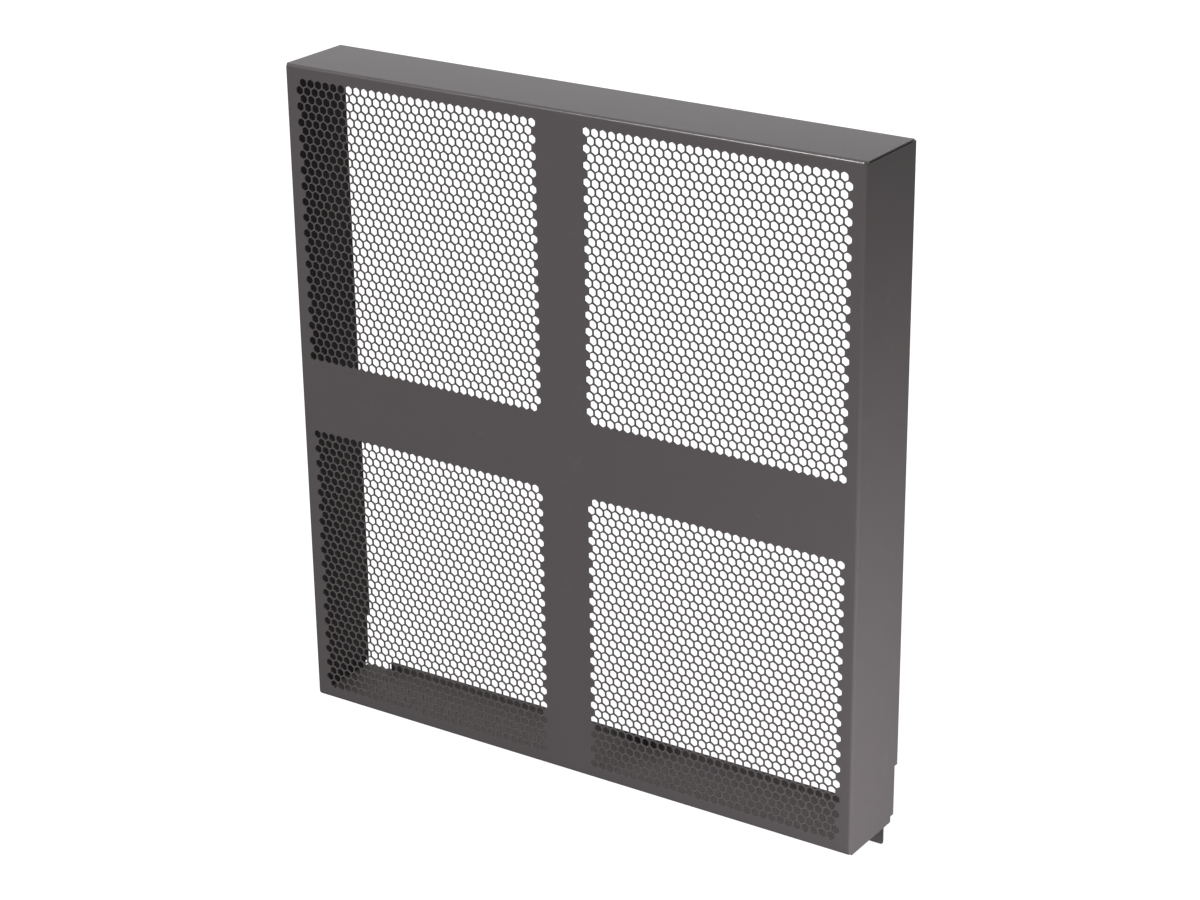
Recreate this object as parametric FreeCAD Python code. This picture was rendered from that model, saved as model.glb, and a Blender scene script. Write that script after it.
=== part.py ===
import FreeCAD, Part
import math
import os

from FreeCAD import Vector

os.makedirs("parts", exist_ok=True)

# Driving sizes in millimetres: X runs across the cover, Y from front to rear, Z up.
# The datum is midway between the hooks, on their front faces and level with the seat under the bottom flange.

# The folded sheet
cover_width = 482.6
cover_height = 511.0
side_depth = 67.5
top_depth = 65.0
sheet = 1.0
fold_inside_radius = 1.5
seam_gap = 0.6

# The rear lip and the hooks of the bottom flange, and the notch and corner relief of each side flange
lip_height = 8.0
hook_drop = 22.5
hook_width = 15.0
hook_corner_radius = 2.0
end_inset = 7.5
relief_slot = 2.0
notch_height = 44.0
notch_depth = 3.8
corner_relief_depth = 4.3
corner_relief_height = 4.6

# The four honeycomb fields round the plain cross
side_border = 9.0
end_border = 7.9
upright_band = 39.4
level_band = 56.7
cell_across_flats = 19.2
cell_web = 3.4

# Sizes that follow from these
fold_radius = fold_inside_radius + sheet
half_width = cover_width / 2
bottom_depth = side_depth - notch_depth
front_y = sheet - bottom_depth
front_fold_y = front_y + fold_radius
rear_fold_y = sheet - fold_radius
panel_half_width = half_width - fold_radius
panel_bottom = fold_radius
panel_top = cover_height - fold_radius
field_width = half_width - side_border - upright_band / 2
field_height = cover_height / 2 - end_border - level_band / 2
cell_pitch = cell_across_flats + cell_web
cell_row_step = cell_pitch * math.sin(math.radians(60))
cell_height = cell_across_flats / math.cos(math.radians(30))
bottom_half_width = half_width - sheet - seam_gap
hook_outer_x = half_width - end_inset
hook_inner_x = hook_outer_x - hook_width
lip_half_width = hook_inner_x - relief_slot


def plate(x_from, x_to, y_from, y_to, z_from, z_to):
    """A flat stretch of sheet between two limits on each axis."""
    return Part.makeBox(x_to - x_from, y_to - y_from, z_to - z_from, Vector(x_from, y_from, z_from))


def fold_section(place, start_angle):
    """The quarter ring of a fold, where place puts its own two coordinates in the model."""

    def at(radius, share):
        angle = math.radians(start_angle + 90 * share)
        return place(radius * math.cos(angle), radius * math.sin(angle))

    outer = Part.Arc(at(fold_radius, 0), at(fold_radius, 0.5), at(fold_radius, 1)).toShape()
    inner = Part.Arc(at(fold_inside_radius, 1), at(fold_inside_radius, 0.5), at(fold_inside_radius, 0)).toShape()
    far_side = Part.makeLine(at(fold_radius, 1), at(fold_inside_radius, 1))
    near_side = Part.makeLine(at(fold_inside_radius, 0), at(fold_radius, 0))
    return Part.Face(Part.Wire([outer, far_side, inner, near_side]))


def fold_along_x(y, z, start_angle, x_from, x_to):
    """A fold that runs across the cover, about the line at y and z."""
    section = fold_section(lambda u, v: Vector(x_from, y + u, z + v), start_angle)
    return section.extrude(Vector(x_to - x_from, 0, 0))


def fold_along_z(x, y, start_angle, z_from, z_to):
    """A fold that runs up the cover, about the line at x and y."""
    section = fold_section(lambda u, v: Vector(x + u, y + v, z_from), start_angle)
    return section.extrude(Vector(0, 0, z_to - z_from))


def both_sides(shape):
    """A right-hand shape and its mirror image on the left."""
    return [shape, shape.mirror(Vector(0, 0, 0), Vector(1, 0, 0))]


def cell_centres():
    """Cell centres of the upper right field, from the cover's own centre: alternate rows step half a pitch."""
    columns = int((field_width + cell_web - cell_pitch / 2) // cell_pitch)
    rows = 1 + int((field_height - cell_height) // cell_row_step)
    pattern_width = (columns + 0.5) * cell_pitch - cell_web
    pattern_height = (rows - 1) * cell_row_step + cell_height
    first_x = upright_band / 2 + (field_width - pattern_width + cell_across_flats) / 2
    first_z = level_band / 2 + (field_height + pattern_height - cell_height) / 2
    centres = []
    for row in range(rows):
        row_x = first_x + (row % 2) * cell_pitch / 2
        for column in range(columns):
            centres.append((row_x + column * cell_pitch, first_z - row * cell_row_step))
    return centres


def cell_outline(x, z):
    """One hexagon with upright flats, on the outer face of the front."""
    corners = []
    for corner in range(7):
        angle = math.radians(90 + 60 * corner)
        reach = cell_height / 2
        corners.append(Vector(x + reach * math.cos(angle), front_y, z + reach * math.sin(angle)))
    return Part.makePolygon(corners)


def honeycomb_panel():
    """The flat front between its folds, with the cells of the four fields mirrored about its centre."""
    corners = [
        Vector(-panel_half_width, front_y, panel_bottom),
        Vector(panel_half_width, front_y, panel_bottom),
        Vector(panel_half_width, front_y, panel_top),
        Vector(-panel_half_width, front_y, panel_top),
        Vector(-panel_half_width, front_y, panel_bottom),
    ]
    outlines = [Part.makePolygon(corners)]
    for x, z in cell_centres():
        for side in (1, -1):
            for level in (1, -1):
                outlines.append(cell_outline(side * x, cover_height / 2 + level * z))
    face = Part.makeFace(outlines, "Part::FaceMakerBullseye")
    return face.extrude(Vector(0, sheet, 0))


def top_flange():
    """The top fold and the flange behind it, which reaches over both side flanges."""
    fold = fold_along_x(front_fold_y, panel_top, 90, -panel_half_width, panel_half_width)
    flat = plate(
        -half_width, half_width, front_fold_y, front_y + top_depth, cover_height - sheet, cover_height
    )
    return [fold, flat]


def bottom_flange():
    """The bottom fold and the flange behind it, which lies between the side flanges, to the fold of its lip."""
    fold = fold_along_x(front_fold_y, panel_bottom, 180, -panel_half_width, panel_half_width)
    flat = plate(-bottom_half_width, bottom_half_width, front_fold_y, rear_fold_y, 0, sheet)
    return [fold, flat]


def rear_lip():
    """The lip turned up between the hooks."""
    fold = fold_along_x(rear_fold_y, fold_radius, 270, -lip_half_width, lip_half_width)
    flat = plate(-lip_half_width, lip_half_width, 0, sheet, fold_radius, lip_height)
    return [fold, flat]


def hook():
    """The right-hand hook, turned down in the plane of the lip, with its lower corners rounded."""
    fold = fold_along_x(rear_fold_y, -fold_inside_radius, 0, hook_inner_x, hook_outer_x)
    flat = plate(hook_inner_x, hook_outer_x, 0, sheet, -hook_drop, -fold_inside_radius)
    low_corners = []
    for edge in flat.Edges:
        if abs(edge.BoundBox.ZMax + hook_drop) < 1e-6 and edge.BoundBox.YLength > sheet / 2:
            low_corners.append(edge)
    return both_sides(fold) + both_sides(flat.makeFillet(hook_corner_radius, low_corners))


def side_flange():
    """The right-hand fold and flange, under the top flange, with the notch and the relief of its lower corner."""
    fold = fold_along_z(panel_half_width, front_fold_y, 270, panel_bottom, panel_top)
    rear_y = front_y + side_depth
    flat = plate(
        half_width - sheet,
        half_width,
        front_fold_y,
        rear_y,
        0,
        cover_height - sheet - seam_gap,
    )
    notch_y = rear_y - notch_depth
    notch = plate(half_width - sheet, half_width, notch_y, rear_y, 0, notch_height)
    relief_y = notch_y - corner_relief_depth
    relief = plate(half_width - sheet, half_width, relief_y, rear_y, 0, corner_relief_height)
    return both_sides(fold) + both_sides(flat.cut(notch).cut(relief))


pieces = top_flange() + bottom_flange() + rear_lip() + hook() + side_flange()
front_cover = honeycomb_panel().multiFuse(pieces).removeSplitter()
if len(front_cover.Solids) != 1 or not front_cover.isValid():
    raise RuntimeError("the cover has to come out as one sound solid")
front_cover.Solids[0].exportStep("parts/front_cover.step")
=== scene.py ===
"""Dresses the rack front cover: one folded sheet, satin powder coated.

Its front has four fields of small hexagonal holes.
"""

import math
from typing import NamedTuple

import bpy
import numpy as np
from bpy.props import FloatProperty, FloatVectorProperty, IntProperty, PointerProperty
from bpy.types import Operator, Panel, PropertyGroup
from mathutils import Matrix, Vector


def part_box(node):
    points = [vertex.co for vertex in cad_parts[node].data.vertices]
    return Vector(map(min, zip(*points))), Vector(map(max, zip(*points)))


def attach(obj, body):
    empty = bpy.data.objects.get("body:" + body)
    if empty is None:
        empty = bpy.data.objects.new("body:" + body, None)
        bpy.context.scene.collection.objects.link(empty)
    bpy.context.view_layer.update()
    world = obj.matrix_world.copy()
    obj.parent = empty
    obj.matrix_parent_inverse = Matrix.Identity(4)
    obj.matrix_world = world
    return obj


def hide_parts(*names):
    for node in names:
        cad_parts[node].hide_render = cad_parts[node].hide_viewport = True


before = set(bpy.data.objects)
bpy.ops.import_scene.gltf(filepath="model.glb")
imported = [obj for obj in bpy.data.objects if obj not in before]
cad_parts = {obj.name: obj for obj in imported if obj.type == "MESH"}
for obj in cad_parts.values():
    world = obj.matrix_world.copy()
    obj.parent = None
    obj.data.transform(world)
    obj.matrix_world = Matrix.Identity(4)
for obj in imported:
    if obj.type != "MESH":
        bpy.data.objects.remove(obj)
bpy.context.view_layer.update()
cover_low, cover_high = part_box("front_cover")

bl_info = {
    "name": "Rack front cover",
    "version": (1, 0, 0),
    "blender": (4, 5, 0),
    "location": "View3D > Sidebar > Rack cover",
    "description": "Builds a folded rack front cover with hexagonal holes, and a studio for it",
    "category": "Object",
}

# The corners of a hole, from its top anticlockwise as the front is seen.
# Each is cut off, so it is two points in turn.
TOP, UPPER_LEFT, LOWER_LEFT, BOTTOM, LOWER_RIGHT, UPPER_RIGHT = range(0, 12, 2)
HOLE_POINTS = 12

# Steps round a quarter circle
FOLD_STEPS = 8
HOOK_CORNER_STEPS = 6

# Metres under which two places are one, and the decimals by which points are compared
TOUCHING = 1e-6
JOIN_DECIMALS = 6
MERGE_DECIMALS = 7
# How far two directions may differ on a flat face
SAME_DIRECTION = 1e-6
# The least divisor of a mitre, which keeps it from running out to a spike
LEAST_MITRE_DIVISOR = 0.5
# The angle over which a crease stays sharp
SHARP_CREASE = math.radians(30)

# Specks across a grain of the coat, and the detail, the roughness and the mean of soft noise
SPECKS_PER_GRAIN = 3
NOISE_DETAIL = 2.0
PLAIN_NOISE = 0.0
NOISE_ROUGHNESS = 0.55
NOISE_MIDDLE = 0.5

# How much of the grain, its specks and the flow shows in the coat's tone, roughness and relief
GRAIN_TONE, SPECK_TONE, FLOW_TONE, TONE_DROP = 0.5, 0.3, 0.4, 0.1
GRAIN_ROUGHNESS, FLOW_ROUGHNESS = 0.10, 0.08
SPECK_HEIGHT = 0.35
BUMP_STRENGTH = 0.6
COAT_IOR = 1.5

# The paper of the floor: size of its mottle in metres, its two tones, and how it glows through
FLOOR_MOTTLE = 0.4
FLOOR_TONES = (0.93, 0.93, 0.93, 1.0), (0.95, 0.95, 0.95, 1.0)
FLOOR_ROUGHNESS = 0.9
FLOOR_SPECULAR = 0.1
FLOOR_GLOW = 1.1
FLOOR_MATT_SHARE = 0.12
WHITE = (1.0, 1.0, 1.0, 1.0)

# Sockets that go by number, because their names repeat: those of a colour Mix and of a Mix Shader
MIX_FACTOR, MIX_FIRST, MIX_SECOND, MIX_RESULT = 0, 6, 7, 2
SHADER_FACTOR, FIRST_SHADER, SECOND_SHADER = 0, 1, 2

# Width of the camera's frame in millimetres
FRAME_WIDTH = 36.0


def length(name, description, default):
    """A size in metres that a user may change."""
    return FloatProperty(
        name=name, description=description, default=default, min=0.0, precision=5, unit="LENGTH"
    )


def share(name, description, default):
    """A number from 0 to 1 that a user may change."""
    return FloatProperty(
        name=name, description=description, default=default, min=0.0, max=1.0, subtype="FACTOR"
    )


def tone(name, description, default):
    """A colour that a user may change."""
    return FloatVectorProperty(
        name=name, description=description, default=default, min=0.0, max=1.0, size=3,
        subtype="COLOR",
    )


def watts(name, description, default):
    """A light's power that a user may change."""
    return FloatProperty(
        name=name, description=description, default=default, min=0.0, unit="POWER"
    )


def place(name, description, default):
    """A point in space that a user may change."""
    return FloatVectorProperty(
        name=name, description=description, default=default, size=3, subtype="TRANSLATION"
    )


class SheetSizes(PropertyGroup):
    """Sizes of the folded sheet, which keep to the CAD model's box."""

    width: length(
        "Width", "Over the outer faces of the side flanges", cover_high[0] - cover_low[0]
    )
    height: length(
        "Height", "From the underside of the bottom flange to the top face", cover_high[2]
    )
    front: length(
        "Front to datum", "From the front face back to the hooks' front faces", -cover_low[1]
    )
    rear: length(
        "Datum to rear", "From the hooks' front faces to the side flanges' rear edges",
        cover_high[1],
    )
    hook_drop: length(
        "Hook drop", "From the underside of the bottom flange to the hooks' ends", -cover_low[2]
    )
    sheet: length("Sheet", "Thickness of the steel with its coat", 0.001)
    fold_radius: length("Fold radius", "Inside radius of every fold", 0.0015)
    edge_softening: length(
        "Edge softening", "Width of the coat's rounding along cut edges", 0.00015
    )
    seam_gap: length(
        "Seam gap", "Open seam between the side flanges and the top and bottom flanges", 0.0006
    )
    lip_height: length(
        "Lip height", "Top of the rear lip over the underside of the bottom flange", 0.008
    )
    hook_width: length("Hook width", "Width of each hook", 0.015)
    hook_corner: length("Hook corner", "Radius of the hooks' lower corners", 0.002)
    hook_inset: length("Hook inset", "From a side flange's outer face in to its hook", 0.0075)
    relief_slot: length("Relief slot", "Slot between a hook and the lip", 0.002)
    notch_height: length(
        "Notch height", "Height of the clearance notch of each side flange", 0.044
    )
    notch_depth: length("Notch depth", "Depth of the clearance notch of each side flange", 0.0038)
    corner_height: length(
        "Corner height", "Height of the relief at each side flange's lower rear corner", 0.0046
    )
    corner_depth: length("Corner depth", "Depth of that relief from the notch", 0.0043)
    top_setback: length(
        "Top setback", "From the side flanges' rear edges forward to the top flange's", 0.0025
    )


class HoleSizes(PropertyGroup):
    """Sizes of the hole pattern, which is the same in the four fields."""

    pitch: length("Pitch", "Between the centres of neighbouring holes", 0.006975)
    across_flats: length("Across flats", "Size of a hole between opposite sides", 0.006)
    corner_cut: length(
        "Corner cut", "Length that the rounding takes off a hole's sides at each corner", 0.0006
    )
    band: length(
        "Upright band", "From the cover's centre line to the first hole centre", 0.02267
    )
    level: length(
        "Level band", "From the cover's centre to the lowest row of hole centres above it", 0.0318
    )
    rows: IntProperty(
        name="Rows", description="Rows of holes in a field, an even number", default=36, min=2
    )
    columns: IntProperty(
        name="Columns", description="Holes in a row of a field", default=30, min=2
    )


class CoatColours(PropertyGroup):
    """The powder coat."""

    grey: tone("Grey", "Main tone of the coat", (0.081, 0.0735, 0.0745))
    deep_grey: tone("Deep grey", "Tone in the hollows of the coat", (0.068, 0.0615, 0.063))
    # Painted shade: a darker tone put on every inner face, where the cover's own shade falls
    inside: tone("Inside", "Tone of the thinner coat on the inner faces", (0.056, 0.049, 0.0495))
    roughness: share("Roughness", "Mean roughness of the satin coat", 0.24)
    inside_roughness: share(
        "Inside roughness", "Mean roughness of the thinner coat on the inner faces", 0.6
    )
    grain: length("Grain", "Size of the fine grains in the coat", 0.0007)
    flow: length("Flow", "Size of the broad, faint waves in the coat", 0.018)
    relief: length("Relief", "Depth of the grain", 0.00002)


class StudioSettings(PropertyGroup):
    """The floor, the lights and the camera."""

    floor: length("Floor", "Side of the square floor", 160.0)
    key: watts("Key", "Soft light in front, a little to the left", 69.0)
    high: watts("High", "Small soft light high on the left", 106.0)
    over: watts("Over", "Soft light high behind, for the top and the inside", 85.0)
    back: watts("Back", "Soft light behind on the left", 6.0)
    rear: watts("Rear", "Soft light low behind, for the inside", 72.0)
    low_side: watts("Low side", "Soft strip near the floor on the right", 9.4)
    ambient: FloatProperty(
        name="Ambient", description="Brightness of the room all round", default=0.070, min=0.0
    )
    camera: place("Camera", "Where the camera stands", (1.1108, -1.6592, 1.0420))
    aim: place("Aim", "Where the camera's axis meets the front", (0.0650, -0.0627, 0.2508))
    roll: FloatProperty(
        name="Roll", description="Turn of the camera about its axis",
        default=math.radians(-0.401), subtype="ANGLE",
    )
    lens: FloatProperty(
        name="Lens", description="Focal length in millimetres on a 36 mm frame", default=87.56,
        min=1.0, unit="CAMERA",
    )
    shift: FloatVectorProperty(
        name="Shift", description="Shift of the lens across and up, as shares of the frame's width",
        default=(-0.0333, 0.025), size=2,
    )


class Patch(NamedTuple):
    """Points of the sheet's outer face, the directions from them into it, and the faces between.

    A point's slide is how far its partner on the inner face lies aside of it, which is nothing
    except at the holes.
    """

    points: np.ndarray
    inward: np.ndarray
    slide: np.ndarray
    quads: np.ndarray
    triangles: np.ndarray


class Profile(NamedTuple):
    """A line in the plane across a fold: its points and the directions from them into the sheet."""

    points: np.ndarray
    inward: np.ndarray


def quarter_fold(start, heading, inward, radius):
    """A quarter circle from start that turns towards inward, or away where radius is negative.

    Its centre lies one radius from the start along inward. Over the angle t from 0 to 90 degrees
    a point is the centre less radius cos t along inward, plus the plain radius times sin t along
    heading.
    """
    turn = np.linspace(0.0, math.pi / 2, FOLD_STEPS + 1)[:, None]
    reach = abs(radius) * np.sin(turn) * heading
    points = start + radius * (1.0 - np.cos(turn)) * inward + reach
    side = math.copysign(1.0, radius)
    return Profile(points, np.cos(turn) * inward - side * np.sin(turn) * heading)


def straight_run(start, heading, inward, distance):
    """A straight line from start along heading, over the distance."""
    points = start + np.array((0.0, distance))[:, None] * heading
    return Profile(points, np.repeat(inward[None], len(points), axis=0))


def grid_quads(rows, columns):
    """The quads of a grid of points that is numbered row by row."""
    first = (np.arange(rows - 1)[:, None] * columns + np.arange(columns - 1)).ravel()
    return np.stack([first, first + 1, first + columns + 1, first + columns], axis=1)


def straight_patch(
    points, inward, quads=np.empty((0, 4), int), triangles=np.empty((0, 3), int)
):
    """A patch whose inner face lies squarely behind its outer face."""
    return Patch(points, inward, np.zeros_like(points), quads, triangles)


def carried(profile, stations, across_to_space):
    """A profile carried along a straight edge: a grid with a row for each point of the profile."""
    rows, columns = len(profile.points), len(stations)
    places = np.broadcast_to(stations, (rows, columns))
    points = across_to_space(profile.points[:, None, :], places)
    inward = across_to_space(profile.inward[:, None, :], np.zeros((rows, columns)))
    return straight_patch(
        points.reshape(-1, 3), inward.reshape(-1, 3), quads=grid_quads(rows, columns)
    )


def bridged(profile, near_at, far, far_at):
    """The flat from the end of an upright profile to a line at far.

    The points of its two edges need not be level with each other.
    """
    near_points = along_z(profile.points[-1], near_at)
    far_points = along_z(far, far_at)
    near, past = np.arange(len(near_at)), len(near_at) + np.arange(len(far_at))
    points = np.concatenate([near_points, far_points])
    inward = np.broadcast_to(along_z(profile.inward[-1], 0.0), points.shape)
    return straight_patch(points, inward, triangles=zipped(near, near_at, past, far_at))


def along_x(pair, x):
    """Space points for a profile in the (y, z) plane that is carried along x."""
    return np.stack(np.broadcast_arrays(x, pair[..., 0], pair[..., 1]), axis=-1)


def along_z(pair, z):
    """Space points for a profile in the (x, y) plane that is carried along z."""
    return np.stack(np.broadcast_arrays(pair[..., 0], pair[..., 1], z), axis=-1)


def mirrored(patch):
    """The same patch on the other side of the cover."""
    flip = np.array((-1.0, 1.0, 1.0))
    return patch._replace(
        points=patch.points * flip, inward=patch.inward * flip, slide=patch.slide * flip
    )


def hole_corners(holes):
    """The holes of the upper right field, from the cover's centre, on the outer and inner face.

    Each face has an array of [row, column, point, (x, z)]. Rows are counted from the top. Along a
    row the centres are one pitch apart, every second row stands half a pitch further out, and rows
    are sin 60 pitches apart. Corner k stands at 90 + 60 k degrees round its centre, and its
    distance is the across-flats size over the root of three. On the outer face each corner is cut
    off, at the same length along both of its sides. On the inner face it is sharp, and both of its
    points lie in it. Its distance is less there, so that the hole has the same area on both faces.
    """
    row, column = np.mgrid[0:holes.rows, 0:holes.columns]
    x = holes.band + (column + 0.5 * (row % 2)) * holes.pitch
    z = holes.level + (holes.rows - 1 - row) * holes.pitch * math.sin(math.radians(60))
    centre = np.stack([x, z], axis=-1)[:, :, None, :]
    turn = np.radians(90 + 60 * np.arange(6))
    reach = holes.across_flats / math.sqrt(3)
    corner = np.stack([np.cos(turn), np.sin(turn)], axis=1)
    cut = holes.corner_cut / reach
    before = corner + cut * (np.roll(corner, 1, axis=0) - corner)
    after = corner + cut * (np.roll(corner, -1, axis=0) - corner)
    outer = np.stack([before, after], axis=1).reshape(HOLE_POINTS, 2)
    inner = np.repeat(corner, 2, axis=0) * math.sqrt(1.0 - cut**2)
    return centre + reach * outer, centre + reach * inner


def web_faces(rows, columns):
    """Faces of a field by point number.

    There is a quad for each web between two holes, and four triangles where three holes meet.
    """
    row, column = np.mgrid[0:rows, 0:columns]
    hole = row * columns + column
    shift = row % 2
    right, below_right = hole + 1, hole + columns + shift
    below_left = below_right - 1
    has_right = column < columns - 1
    has_below_right = (row < rows - 1) & (column + shift < columns)
    has_below_left = (row < rows - 1) & (column + shift > 0)

    def faces(where, *points):
        return np.stack([owner[where] * HOLE_POINTS + point for owner, point in points], axis=1)

    def meeting(where, *corners):
        ring = faces(where, *[(owner, point + turn) for owner, point in corners for turn in (0, 1)])
        return ring[:, [(0, 1, 2), (2, 3, 4), (4, 5, 0), (0, 2, 4)]].reshape(-1, 3)

    quads = np.concatenate([
        faces(
            has_right,
            (hole, LOWER_RIGHT + 1), (right, LOWER_LEFT),
            (right, UPPER_LEFT + 1), (hole, UPPER_RIGHT),
        ),
        faces(
            has_below_right,
            (hole, BOTTOM + 1), (below_right, UPPER_LEFT),
            (below_right, TOP + 1), (hole, LOWER_RIGHT),
        ),
        faces(
            has_below_left,
            (hole, LOWER_LEFT + 1), (below_left, TOP),
            (below_left, UPPER_RIGHT + 1), (hole, BOTTOM),
        ),
    ])
    triangles = np.concatenate([
        meeting(
            has_right & has_below_right,
            (hole, LOWER_RIGHT), (right, LOWER_LEFT), (below_right, TOP),
        ),
        meeting(
            has_below_left & has_below_right,
            (hole, BOTTOM), (below_right, UPPER_LEFT), (below_left, UPPER_RIGHT),
        ),
    ])
    return quads, triangles


def field_outline(rows, columns):
    """Point numbers along the four zigzags of a field, left to right or downwards.

    They are the top, the bottom, the inner and the outer one. The inner and the outer one start and
    end in a point of the top and of the bottom one, and what lies beyond it is left off.
    """
    every = np.arange(columns)[:, None] * HOLE_POINTS
    over = (UPPER_LEFT + 1, UPPER_LEFT, TOP + 1, TOP, UPPER_RIGHT + 1, UPPER_RIGHT)
    under = (LOWER_LEFT, LOWER_LEFT + 1, BOTTOM, BOTTOM + 1, LOWER_RIGHT, LOWER_RIGHT + 1)
    top = (every + over).ravel()
    bottom = ((rows - 1) * columns * HOLE_POINTS + every + under).ravel()
    even = np.arange(0, rows, 2)[:, None] * columns * HOLE_POINTS
    odd = even + columns * HOLE_POINTS
    last = (columns - 1) * HOLE_POINTS
    left = (UPPER_LEFT, UPPER_LEFT + 1, LOWER_LEFT, LOWER_LEFT + 1)
    right = (UPPER_RIGHT + 1, UPPER_RIGHT, LOWER_RIGHT + 1, LOWER_RIGHT)
    inner = np.concatenate([even + (TOP, TOP + 1, *left, BOTTOM, BOTTOM + 1), odd + left], axis=1)
    outer = np.concatenate(
        [even + last + right, odd + last + (TOP + 1, TOP, *right, BOTTOM + 1, BOTTOM)], axis=1
    )
    return top, bottom, inner.ravel()[3:-1], outer.ravel()[1:-3]


def zipped(near, near_at, far, far_at):
    """Triangles between two rows of points that run side by side.

    Each step along either row closes one triangle with the point then reached on the other row,
    and the steps of both rows are taken in the order of their middles.
    """
    middles = np.concatenate([near_at[1:] + near_at[:-1], far_at[1:] + far_at[:-1]])
    order = np.argsort(middles, kind="stable")
    on_near = order < len(near) - 1
    near_done = np.cumsum(on_near) - on_near
    far_done = np.cumsum(~on_near) - ~on_near
    next_near = near[np.minimum(near_done + 1, len(near) - 1)]
    next_far = far[np.minimum(far_done + 1, len(far) - 1)]
    return np.stack(
        [near[near_done], far[far_done], np.where(on_near, next_near, next_far)], axis=1
    )


class Stations(NamedTuple):
    """Where the edges of the upper right quarter have points, from the cover's centre."""

    across: np.ndarray
    upward: np.ndarray


def edge_stations(sizes, corners):
    """Points at every hole or row, at the field's ends, and where the lip and the hooks begin."""
    fold = sizes.fold_radius + sizes.sheet
    hook_outer = sizes.width / 2 - sizes.hook_inset
    hook_inner = hook_outer - sizes.hook_width
    lip_end = hook_inner - sizes.relief_slot
    columns_at = corners[0, :, :, 0].mean(axis=1)
    across = np.concatenate([
        (0.0, lip_end, hook_inner, hook_outer, sizes.width / 2 - fold), columns_at
    ])
    rows_at = corners[:, 0, :, 1].mean(axis=1)
    ends = (corners[0, 0, UPPER_LEFT + 1, 1], corners[-1, 0, LOWER_LEFT, 1])
    upward = np.concatenate([(0.0, sizes.height / 2 - fold), ends, rows_at])
    return Stations(np.unique(across), np.unique(upward))


def front_quarter(corners, stations):
    """The upper right quarter of the front, flat: points (x, z) from the centre, and faces."""
    rows, columns = corners.shape[:2]
    quads, triangles = web_faces(rows, columns)
    top, bottom, inner, outer = field_outline(rows, columns)
    across, upward = stations
    field_top, field_bottom = corners[0, 0, UPPER_LEFT + 1, 1], corners[-1, 0, LOWER_LEFT, 1]
    beside = upward[(upward >= field_bottom) & (upward <= field_top)][::-1]

    lines = [
        np.stack([across, np.full_like(across, upward[-1])], axis=1),
        np.stack([across, np.zeros_like(across)], axis=1),
        np.stack([np.zeros_like(beside), beside], axis=1),
        np.stack([np.full_like(beside, across[-1]), beside], axis=1),
    ]
    points = np.concatenate([corners.reshape(-1, 2)] + lines)
    starts = corners.size // 2 + np.cumsum([0] + [len(line) for line in lines])
    upper, lower, centre, edge = [np.arange(a, b) for a, b in zip(starts[:-1], starts[1:])]

    x, z = points.T
    top = np.concatenate([centre[:1], top, edge[:1]])
    bottom = np.concatenate([centre[-1:], bottom, edge[-1:]])
    triangles = np.concatenate([
        triangles,
        zipped(top, x[top], upper, x[upper]),
        zipped(bottom, x[bottom], lower, x[lower]),
        zipped(inner, -z[inner], centre, -z[centre]),
        zipped(outer, -z[outer], edge, -z[edge]),
    ])
    return points, quads, triangles


def front_patches(sizes, quarter, hole_slide):
    """The quarter turned over into the four quarters of the front."""
    flat, quads, triangles = quarter
    inward = np.broadcast_to((0.0, 1.0, 0.0), (len(flat), 3))
    slide = np.zeros_like(inward)
    slide[:len(hole_slide), ::2] = hole_slide
    for side in (1.0, -1.0):
        for level in (1.0, -1.0):
            x, z = side * flat[:, 0], sizes.height / 2 + level * flat[:, 1]
            points = np.stack([x, np.full_like(x, -sizes.front), z], axis=1)
            yield Patch(points, inward, slide * (side, 1.0, level), quads, triangles)


def both_ways(stations):
    """Stations on both sides of the centre."""
    return np.unique(np.concatenate([-stations, stations]))


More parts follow.
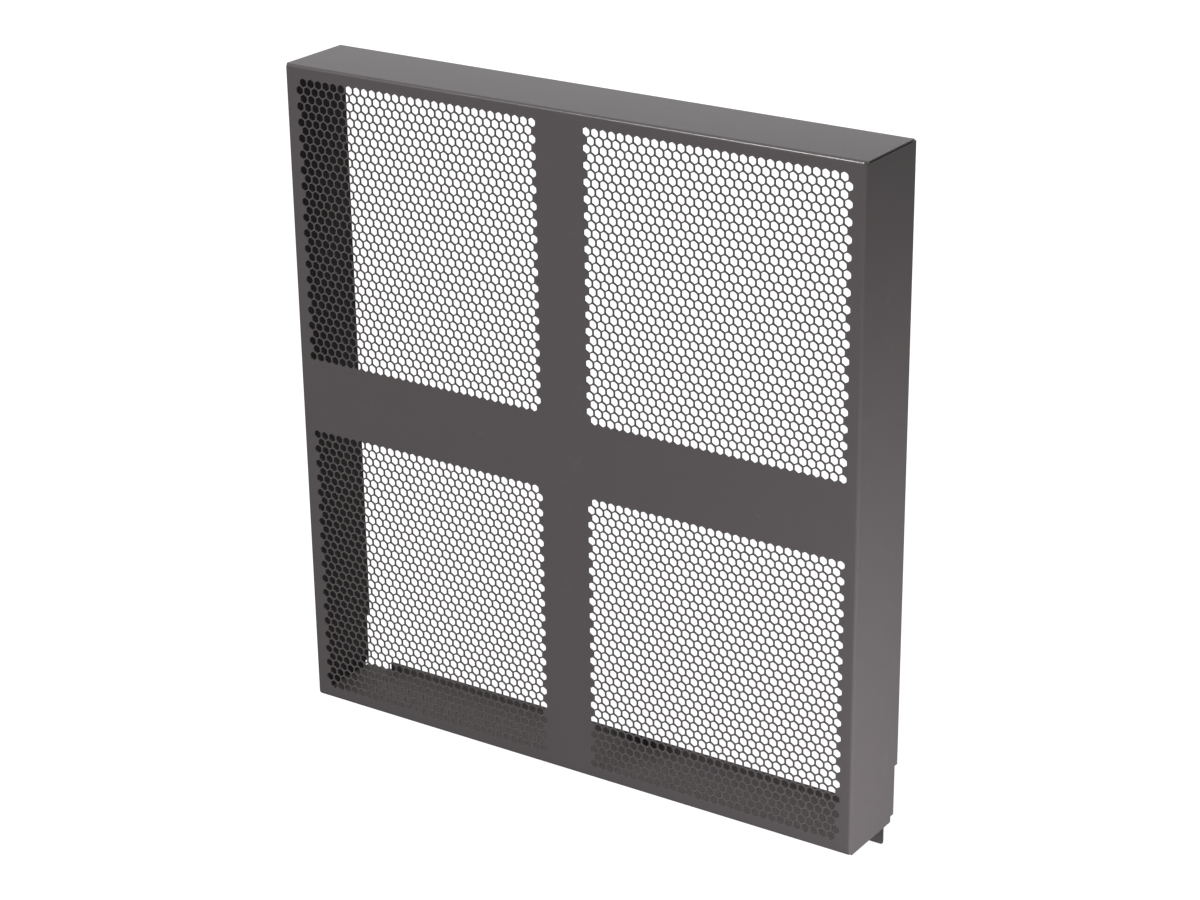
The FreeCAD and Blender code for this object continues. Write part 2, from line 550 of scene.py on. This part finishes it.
def flange_patches(sizes, stations):
    """The folds and flanges round the front, the lip and the hooks.

    Each is a profile carried along its edge.
    """
    fold = sizes.fold_radius + sizes.sheet
    half_width, middle = sizes.width / 2, sizes.height / 2
    across = both_ways(stations.across)
    full_width = np.concatenate([(-half_width,), across, (half_width,)])
    upward = middle + both_ways(stations.upward)
    ends = sizes.sheet + sizes.seam_gap
    full_height = np.concatenate([(0.0,), upward, (sizes.height - ends,)])
    bottom_end = half_width - ends
    bottom_width = np.concatenate([(-bottom_end,), across, (bottom_end,)])
    flange_start = fold - sizes.front
    # Directions in an upright section (y, z), and in a level one (x, y)
    back, up = np.array((1.0, 0.0)), np.array((0.0, 1.0))
    out, rearward = np.array((1.0, 0.0)), np.array((0.0, 1.0))

    top_fold = quarter_fold(np.array((-sizes.front, sizes.height - fold)), up, back, fold)
    top_length = sizes.rear - sizes.top_setback - flange_start
    top_flat = straight_run(top_fold.points[-1], back, -up, top_length)
    yield carried(top_fold, across, along_x)
    yield carried(top_flat, full_width, along_x)

    rear_fold_at = sizes.sheet - fold
    bottom_fold = quarter_fold(np.array((-sizes.front, fold)), -up, back, fold)
    bottom_flat = straight_run(bottom_fold.points[-1], back, up, rear_fold_at - flange_start)
    yield carried(bottom_fold, across, along_x)
    yield carried(bottom_flat, bottom_width, along_x)

    hook_outer = half_width - sizes.hook_inset
    hook_inner = hook_outer - sizes.hook_width
    behind = bottom_flat.points[-1]
    lip_fold = quarter_fold(behind, back, up, fold)
    lip_flat = straight_run(lip_fold.points[-1], up, -back, sizes.lip_height - fold)
    lip_across = across[np.abs(across) < hook_inner - sizes.relief_slot / 2]
    yield carried(lip_fold, lip_across, along_x)
    yield carried(lip_flat, lip_across, along_x)

    hook_fold = quarter_fold(behind, back, up, -sizes.fold_radius)
    hook_across = across[(across > hook_inner - TOUCHING) & (across < hook_outer + TOUCHING)]
    hook = carried(hook_fold, hook_across, along_x)
    blade = hook_blade(sizes, hook_fold, hook_across)
    yield from (hook, mirrored(hook), blade, mirrored(blade))

    side_fold = quarter_fold(np.array((half_width - fold, -sizes.front)), out, rearward, fold)
    relief_at = np.array((half_width, sizes.rear - sizes.notch_depth - sizes.corner_depth))
    cut_height = np.unique(np.append(full_height, (sizes.corner_height, sizes.notch_height)))
    over_corner = cut_height[cut_height > sizes.corner_height - TOUCHING]
    over_notch = cut_height[cut_height > sizes.notch_height - TOUCHING]
    side_corner = straight_run(relief_at, rearward, -out, sizes.corner_depth)
    side_rear = straight_run(side_corner.points[-1], rearward, -out, sizes.notch_depth)
    for patch in (
        carried(side_fold, upward, along_z),
        bridged(side_fold, full_height, relief_at, cut_height),
        carried(side_corner, over_corner, along_z),
        carried(side_rear, over_notch, along_z),
    ):
        yield patch
        yield mirrored(patch)


def corner_patches(sizes):
    """The closed corners of the front: an eighth of a sphere between two folds.

    Over the angles t away from the front and s from the level fold to the upright one, both from 0
    to 90 degrees, a point is the folds' common centre plus the fold's outer radius times
    (sin t sin s, -cos t, sin t cos s).
    """
    fold = sizes.fold_radius + sizes.sheet
    turn = np.linspace(0.0, math.pi / 2, FOLD_STEPS + 1)
    t, s = np.meshgrid(turn, turn, indexing="ij")
    outward = np.stack([np.sin(t) * np.sin(s), -np.cos(t), np.sin(t) * np.cos(s)], axis=-1)
    outward = outward.reshape(-1, 3)
    reach = np.array((sizes.width / 2 - fold, fold - sizes.front, sizes.height / 2 - fold))
    for level in (1.0, -1.0):
        flip = np.array((1.0, 1.0, level))
        points = (reach + fold * outward) * flip + (0.0, 0.0, sizes.height / 2)
        patch = straight_patch(points, -outward * flip, quads=grid_quads(*t.shape))
        yield patch
        yield mirrored(patch)


def hook_blade(sizes, hook_fold, across):
    """The hook under its fold, whose rounded end draws its columns in.

    Over the angle t from 0 to 90 degrees of the corners, the end falls by the corner radius times
    sin t, and half the width is less by the corner radius times 1 - cos t.
    """
    turn = np.linspace(0.0, math.pi / 2, HOOK_CORNER_STEPS + 1)
    corner, half = sizes.hook_corner, sizes.hook_width / 2
    rounding = corner - sizes.hook_drop - corner * np.sin(turn)
    down = np.concatenate([hook_fold.points[-1:, 1], rounding])
    narrowing = np.concatenate([(1.0,), 1.0 - corner * (1.0 - np.cos(turn)) / half])
    centre = (across[0] + across[-1]) / 2
    x = centre + narrowing[:, None] * (across - centre)
    y = np.full_like(x, hook_fold.points[-1, 0])
    points = np.stack([x, y, np.broadcast_to(down[:, None], x.shape)], axis=-1).reshape(-1, 3)
    inward = np.broadcast_to((0.0, 1.0, 0.0), points.shape)
    return straight_patch(points, inward, quads=grid_quads(*x.shape))


def same_points(points, decimals):
    """Which points to keep where some coincide, and the kept point's number for every point."""
    _, kept, number = np.unique(
        np.round(points, decimals), axis=0, return_index=True, return_inverse=True
    )
    return kept, number.ravel()


def joined(patches):
    """One patch from many: points that coincide are one, and faces look out of the sheet."""
    starts = np.cumsum([0] + [len(patch.points) for patch in patches])
    points = np.concatenate([patch.points for patch in patches])
    inward = np.concatenate([patch.inward for patch in patches])
    slide = np.concatenate([patch.slide for patch in patches])
    quads = np.concatenate([patch.quads + start for patch, start in zip(patches, starts)])
    triangles = np.concatenate([patch.triangles + start for patch, start in zip(patches, starts)])
    kept, number = same_points(points, JOIN_DECIMALS)
    points, inward, slide = points[kept], inward[kept], slide[kept]

    def outward_faces(faces):
        a, b, c, d = (points[faces[:, k]] for k in (0, 1, 2, -1))
        normal = np.cross(c - a, d - b) if faces.shape[1] == 4 else np.cross(b - a, c - a)
        wrong = np.einsum("ij,ij->i", normal, inward[faces].sum(axis=1)) > 0
        return np.where(wrong[:, None], faces[:, ::-1], faces)

    return Patch(
        points, inward, slide, outward_faces(number[quads]), outward_faces(number[triangles])
    )


def open_edges(patch):
    """The edges that only one face has, in that face's direction, as pairs of point numbers."""
    pairs = np.concatenate([
        np.stack([faces, np.roll(faces, -1, axis=1)], axis=-1).reshape(-1, 2)
        for faces in (patch.quads, patch.triangles)
    ])
    total = len(patch.points)
    forward, backward = pairs @ (total, 1), pairs @ (1, total)
    return pairs[~np.isin(forward, backward)]


def thickened(patch, sheet, softening):
    """Points, quads, triangles and face marks of a closed sheet with the patch as its outer face.

    The inner face is the outer one moved by the sheet's thickness along the inward directions, and
    by the slides at the holes. Walls close the gap between the faces along every open edge. Away
    from the holes the outer face first draws back by the softening, on the mitre of the two edges
    that meet in a point, and a narrow slope leads to the wall. The mitre is twice the sum of the
    edges' sideways directions over the square of that sum. The two marks of a face say whether it
    is smooth and whether it is on the inside.
    """
    edges = open_edges(patch)
    at_hole = np.any(patch.slide[edges] != 0.0, axis=(1, 2))
    begin, end = edges[~at_hole].T
    aside = np.cross(
        patch.inward[begin] + patch.inward[end], patch.points[end] - patch.points[begin]
    )
    aside /= np.linalg.norm(aside, axis=1, keepdims=True)
    total = np.zeros_like(patch.points)
    np.add.at(total, np.concatenate([begin, end]), np.concatenate([aside, aside]))
    rim = np.unique(edges[~at_hole])
    square = np.sum(total[rim] ** 2, axis=1, keepdims=True)
    mitre = 2.0 * total[rim] / np.maximum(square, LEAST_MITRE_DIVISOR)

    outer = patch.points.copy()
    outer[rim] -= softening * mitre
    inner = patch.points + sheet * patch.inward + patch.slide
    slope_foot = patch.points[rim] + softening * patch.inward[rim]
    count = len(outer)
    foot = np.arange(count)
    foot[rim] = 2 * count + np.arange(len(rim))
    slopes = np.stack([end, begin, foot[begin], foot[end]], axis=1)
    start, stop = edges.T
    walls = np.stack([foot[stop], foot[start], start + count, stop + count], axis=1)
    quads = np.concatenate([patch.quads, patch.quads[:, ::-1] + count, slopes, walls])
    triangles = np.concatenate([patch.triangles, patch.triangles[:, ::-1] + count])

    bent = np.ptp(patch.inward[patch.quads], axis=1).max(axis=1) > SAME_DIRECTION
    edge_faces, webs = len(slopes) + len(walls), len(patch.triangles)
    smooth = np.concatenate([bent, bent, np.zeros(edge_faces + 2 * webs, bool)])
    # Inner faces are marked, so that the coat paints a darker shade on them
    inside = np.repeat(
        [False, True, False, False, True], [len(bent), len(bent), edge_faces, webs, webs]
    )
    points = np.concatenate([outer, inner, slope_foot])
    return merged(points, quads, triangles, np.stack([smooth, inside], axis=1))


def merged(points, quads, triangles, marks):
    """The same faces with points that coincide made one.

    A quad may become a triangle by it, and a triangle may vanish.
    """
    kept, number = same_points(points, MERGE_DECIMALS)
    quads, triangles = number[quads], number[triangles]
    pinched = quads == np.roll(quads, -1, axis=1)
    whole = ~pinched.any(axis=1)
    left = quads[~whole][~pinched[~whole]].reshape(-1, 3)
    sound = np.all(triangles != np.roll(triangles, -1, axis=1), axis=1)
    quad_marks, triangle_marks = np.split(marks, [len(quads)])
    marks = np.concatenate([quad_marks[whole], triangle_marks[sound], quad_marks[~whole]])
    return points[kept], quads[whole], np.concatenate([triangles[sound], left]), marks


def new_mesh(name, points, quads, triangles, marks):
    """A mesh from whole arrays, its quads before its triangles, with sharp creases kept.

    The marks of its faces are smooth shading and the attribute by which the coat paints a darker
    shade on inner faces.
    """
    mesh = bpy.data.meshes.new(name)
    mesh.vertices.add(len(points))
    mesh.vertices.foreach_set("co", points.astype(np.float32).ravel())
    corners = np.concatenate([quads.ravel(), triangles.ravel()]).astype(np.int32)
    quad_starts = 4 * np.arange(len(quads))
    triangle_starts = quads.size + 3 * np.arange(len(triangles))
    starts = np.concatenate([quad_starts, triangle_starts]).astype(np.int32)
    mesh.loops.add(len(corners))
    mesh.loops.foreach_set("vertex_index", corners)
    mesh.polygons.add(len(starts))
    mesh.polygons.foreach_set("loop_start", starts)
    mesh.polygons.foreach_set("use_smooth", np.ascontiguousarray(marks[:, 0]))
    mesh.update(calc_edges=True)
    if mesh.validate():
        raise RuntimeError(f"the mesh of {name} had faults")
    mesh.set_sharp_from_angle(angle=SHARP_CREASE)
    inside = mesh.attributes.new("inside", "FLOAT", "FACE")
    inside.data.foreach_set("value", marks[:, 1].astype(np.float32))
    return mesh


class Value:
    """A number on a shader socket: sums, differences and products of it add Math nodes."""

    def __init__(self, socket):
        self.socket = socket

    def _math(self, operation, first, second):
        tree = self.socket.id_data
        node = tree.nodes.new("ShaderNodeMath")
        node.operation = operation
        for socket, value in zip(node.inputs, (first, second)):
            if isinstance(value, Value):
                tree.links.new(value.socket, socket)
            else:
                socket.default_value = value
        return Value(node.outputs[0])

    def __add__(self, other):
        return self._math("ADD", self, other)

    def __radd__(self, other):
        return self._math("ADD", other, self)

    def __sub__(self, other):
        return self._math("SUBTRACT", self, other)

    def __rsub__(self, other):
        return self._math("SUBTRACT", other, self)

    def __mul__(self, other):
        return self._math("MULTIPLY", self, other)

    def __rmul__(self, other):
        return self._math("MULTIPLY", other, self)


class Finish:
    """A material whose nodes are added one by one."""

    def __init__(self, name):
        self.material = bpy.data.materials.new(name)
        self.material.use_nodes = True
        self.tree = self.material.node_tree
        self.tree.nodes.clear()

    def node(self, kind, settings, sockets):
        """Adds a node, sets it up, and gives its sockets their values or links."""
        node = self.tree.nodes.new(kind)
        for name, setting in settings.items():
            setattr(node, name, setting)
        for name, value in sockets.items():
            socket = node.inputs[name]
            if isinstance(value, Value):
                self.tree.links.new(value.socket, socket)
            elif isinstance(value, bpy.types.NodeSocket):
                self.tree.links.new(value, socket)
            else:
                socket.default_value = value
        return node

    def object_coordinates(self):
        """The place on the piece, in metres from the datum."""
        return self.node("ShaderNodeTexCoord", {}, {}).outputs["Object"]

    def noise(self, where, size, detail):
        """Soft noise between 0 and 1 with features of about that size, in metres."""
        sockets = {
            "Vector": where, "Scale": 1.0 / size, "Detail": detail, "Roughness": NOISE_ROUGHNESS,
        }
        texture = self.node("ShaderNodeTexNoise", {"noise_dimensions": "3D"}, sockets)
        return Value(texture.outputs[0])

    def mix(self, factor, first, second):
        """A colour that goes from first to second as the factor goes from 0 to 1."""
        settings = {"data_type": "RGBA", "clamp_factor": True}
        sockets = {MIX_FACTOR: factor, MIX_FIRST: first, MIX_SECOND: second}
        return self.node("ShaderNodeMix", settings, sockets).outputs[MIX_RESULT]

    def surface(self, shader):
        """Shows a shader on the surface."""
        self.node("ShaderNodeOutputMaterial", {}, {"Surface": shader.outputs[0]})
        return self.material


def opaque(colour):
    """A colour with full cover, as a colour socket takes it."""
    return (*colour, 1.0)


def powder_coat(colours):
    """Satin powder coat: fine grain in relief and tone, over broad waves where the powder flowed.

    Inner faces, which the mesh marks, have a plain darker tone, which is painted shade, and are
    duller.
    """
    coat = Finish("satin_powder_coat")
    where = coat.object_coordinates()
    grain = coat.noise(where, colours.grain, NOISE_DETAIL)
    speck = coat.noise(where, colours.grain / SPECKS_PER_GRAIN, PLAIN_NOISE)
    flow = coat.noise(where, colours.flow, NOISE_DETAIL)
    inside = coat.node("ShaderNodeAttribute", {"attribute_name": "inside"}, {}).outputs["Fac"]
    inside = Value(inside)

    lightness = GRAIN_TONE * grain + SPECK_TONE * speck + FLOW_TONE * flow - TONE_DROP
    colour = coat.mix(lightness, opaque(colours.deep_grey), opaque(colours.grey))
    # Painted shade: the marked inner faces take a plain darker tone
    colour = coat.mix(inside, colour, opaque(colours.inside))
    unevenness = (
        GRAIN_ROUGHNESS * (grain - NOISE_MIDDLE) + FLOW_ROUGHNESS * (flow - NOISE_MIDDLE)
    )
    dulling = (colours.inside_roughness - colours.roughness) * inside
    roughness = colours.roughness + unevenness + dulling
    height = grain + SPECK_HEIGHT * speck
    bump = coat.node(
        "ShaderNodeBump",
        {},
        {"Strength": BUMP_STRENGTH, "Distance": colours.relief, "Height": height},
    )
    shader = coat.node(
        "ShaderNodeBsdfPrincipled",
        {},
        {
            "Base Color": colour,
            "Roughness": roughness,
            "Normal": bump.outputs["Normal"],
            "IOR": COAT_IOR,
        },
    )
    return coat.surface(shader)


def pale_floor():
    """White paper with a hardly visible mottle, lit from below so that shadows on it stay faint."""
    paper = Finish("pale_floor")
    mottle = paper.noise(paper.object_coordinates(), FLOOR_MOTTLE, NOISE_DETAIL)
    colour = paper.mix(mottle, *FLOOR_TONES)
    matt = paper.node(
        "ShaderNodeBsdfPrincipled",
        {},
        {
            "Base Color": colour,
            "Roughness": FLOOR_ROUGHNESS,
            "Specular IOR Level": FLOOR_SPECULAR,
        },
    )
    glow = paper.node("ShaderNodeEmission", {}, {"Color": WHITE, "Strength": FLOOR_GLOW})
    blend = paper.node(
        "ShaderNodeMixShader",
        {},
        {
            SHADER_FACTOR: FLOOR_MATT_SHARE,
            FIRST_SHADER: glow.outputs[0],
            SECOND_SHADER: matt.outputs[0],
        },
    )
    return paper.surface(blend)


def new_object(name, data):
    """An object at the origin, in the scene."""
    made = bpy.data.objects.new(name, data)
    bpy.context.scene.collection.objects.link(made)
    return made


class SoftLight(NamedTuple):
    """An area light: its place, what it looks at, its width and height, all in metres.

    A light that isn't reflected lights the coat without showing in its gloss.
    """

    place: tuple
    aim: tuple
    size: tuple
    reflected: bool


# The studio's lights by the name of their power in the studio's settings
SOFT_LIGHTS = {
    "key": SoftLight((-0.8, -2.9, 0.85), (0.0, 0.0, 0.25), (2.0, 1.2), False),
    "high": SoftLight((-1.6, -2.7, 3.25), (0.1, 0.0, 0.4), (0.85, 0.85), True),
    "over": SoftLight((-0.2, 0.6, 3.2), (0.0, 0.0, 0.2), (1.0, 0.8), False),
    "back": SoftLight((-1.9, 2.6, 1.5), (0.0, 0.0, 0.4), (2.4, 1.6), True),
    "rear": SoftLight((-0.6, 2.9, 0.5), (0.0, 0.0, 0.25), (2.0, 1.2), False),
    "low_side": SoftLight((0.75, -0.15, 0.0), (0.24, -0.02, 0.08), (0.5, 0.06), False),
}


def add_light(name, light, power):
    """Adds an area light that looks from its place towards its aim."""
    lamp = bpy.data.lights.new(name, "AREA")
    lamp.shape = "RECTANGLE"
    lamp.size, lamp.size_y = light.size
    lamp.energy = power
    made = new_object(name, lamp)
    made.location = light.place
    looking = Vector(light.aim) - Vector(light.place)
    made.rotation_euler = looking.to_track_quat("-Z", "Y").to_euler()
    made.visible_glossy = light.reflected


def add_floor(side):
    """Adds the square floor at the hooks' ends, which neither lights the cover nor shows in it."""
    reach, under = side / 2, cover_low[2]
    corners = [(-reach, -reach), (reach, -reach), (reach, reach), (-reach, reach)]
    points = np.array([(x, y, under) for x, y in corners])
    quads, triangles = np.array([(0, 1, 2, 3)]), np.empty((0, 3), int)
    mesh = new_mesh("studio_floor", points, quads, triangles, np.array([(False, False)]))
    floor = new_object("studio_floor", mesh)
    floor.data.materials.append(pale_floor())
    floor.visible_diffuse = False
    floor.visible_glossy = False


def add_camera(studio):
    """Adds the camera: upright at its place, looking at its aim, then turned by its roll."""
    lens = bpy.data.cameras.new("photo_camera")
    lens.sensor_width = FRAME_WIDTH
    lens.lens = studio.lens
    lens.shift_x, lens.shift_y = studio.shift
    camera = new_object("photo_camera", lens)
    forward = (Vector(studio.aim) - Vector(studio.camera)).normalized()
    right = forward.cross(Vector((0.0, 0.0, 1.0))).normalized()
    upright = Matrix((right, right.cross(forward), -forward)).transposed()
    camera.location = studio.camera
    camera.rotation_euler = (upright @ Matrix.Rotation(studio.roll, 3, "Z")).to_euler()
    return camera


class RACKCOVER_OT_cover_sheet(Operator):
    """Builds the folded, perforated sheet in place of its coarse CAD node"""

    bl_idname = "rack_cover.cover_sheet"
    bl_label = "Cover sheet"

    def execute(self, context):
        sizes, holes = context.scene.cover_sheet_sizes, context.scene.cover_hole_sizes
        corners, inner_corners = hole_corners(holes)
        stations = edge_stations(sizes, corners)
        hole_slide = (inner_corners - corners).reshape(-1, 2)
        patches = list(front_patches(sizes, front_quarter(corners, stations), hole_slide))
        patches.extend(flange_patches(sizes, stations))
        patches.extend(corner_patches(sizes))
        shell = thickened(joined(patches), sizes.sheet, sizes.edge_softening)
        cover = new_object("perforated_cover", new_mesh("perforated_cover", *shell))
        cover.data.materials.append(powder_coat(context.scene.cover_coat))
        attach(cover, "root")
        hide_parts("front_cover")
        return {"FINISHED"}


class RACKCOVER_OT_studio(Operator):
    """Sets up the pale floor, the soft lights and the camera"""

    bl_idname = "rack_cover.studio"
    bl_label = "Studio"

    def execute(self, context):
        scene, studio = context.scene, context.scene.cover_studio
        add_floor(studio.floor)
        for name, light in SOFT_LIGHTS.items():
            add_light(f"{name}_light", light, getattr(studio, name))
        scene.world = bpy.data.worlds.new("studio_world")
        scene.world.use_nodes = True
        room = scene.world.node_tree.nodes["Background"].inputs
        room["Color"].default_value = WHITE
        room["Strength"].default_value = studio.ambient
        scene.view_settings.view_transform = "Standard"
        scene.camera = add_camera(studio)
        return {"FINISHED"}


class RACKCOVER_PT_panel(Panel):
    """Lists the steps and the sizes of the rack cover"""

    bl_idname = "RACKCOVER_PT_panel"
    bl_label = "Rack front cover"
    bl_space_type = "VIEW_3D"
    bl_region_type = "UI"
    bl_category = "Rack cover"

    def draw(self, context):
        for step in STEPS:
            self.layout.operator(step.bl_idname)
        for owner, kind in SETTINGS.items():
            box = self.layout.box()
            for name in kind.__annotations__:
                box.prop(getattr(context.scene, owner), name)


STEPS = (RACKCOVER_OT_cover_sheet, RACKCOVER_OT_studio)
SETTINGS = {
    "cover_sheet_sizes": SheetSizes,
    "cover_hole_sizes": HoleSizes,
    "cover_coat": CoatColours,
    "cover_studio": StudioSettings,
}
CLASSES = (*SETTINGS.values(), *STEPS, RACKCOVER_PT_panel)


def register():
    for kind in CLASSES:
        bpy.utils.register_class(kind)
    for owner, kind in SETTINGS.items():
        setattr(bpy.types.Scene, owner, PointerProperty(type=kind))


def unregister():
    for owner in SETTINGS:
        delattr(bpy.types.Scene, owner)
    for kind in reversed(CLASSES):
        bpy.utils.unregister_class(kind)


def main():
    register()
    bpy.ops.rack_cover.cover_sheet()
    bpy.ops.rack_cover.studio()


if __name__ == "__main__":
    main()
